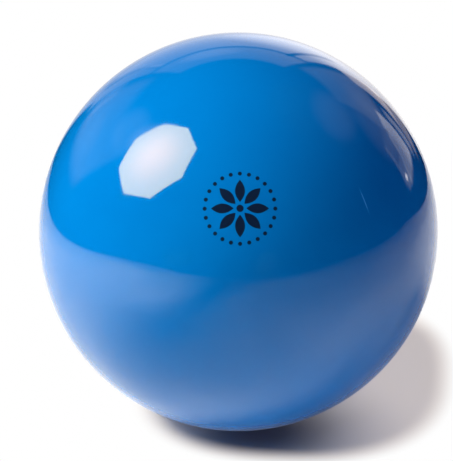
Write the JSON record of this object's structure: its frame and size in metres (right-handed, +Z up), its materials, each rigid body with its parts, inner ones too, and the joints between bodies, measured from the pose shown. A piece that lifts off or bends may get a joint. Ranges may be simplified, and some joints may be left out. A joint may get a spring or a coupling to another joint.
{
  "type": "rhythmic gymnastics ball",
  "caption": "Hollow glossy ball for rhythmic gymnastics, moulded without a seam, with a flush plug valve whose peg pulls out so that the ball can be pumped up.",
  "frame": {"origin": "centre of the ball", "axes": "+Z up, away from the patch that the ball rests on; +Y out of the valve, so the side that the picture shows looks along -Y"},
  "size_m": [0.19, 0.1897, 0.1892],
  "materials": {
    "skin": "high gloss soft PVC, blue",
    "valve_rubber": "satin soft rubber, dark blue",
    "plug_plastic": "satin ivory plastic"
  },
  "bodies": {
    "ball": {"ball_shell": "skin", "valve_body": "valve_rubber"},
    "plug": {"valve_plug": "plug_plastic"}
  },
  "joints": [
    {"name": "plug_pull", "type": "slide", "parent": "ball", "child": "plug", "axis": [0, 1, 0], "range_m": [0, 0.014]}
  ]
}
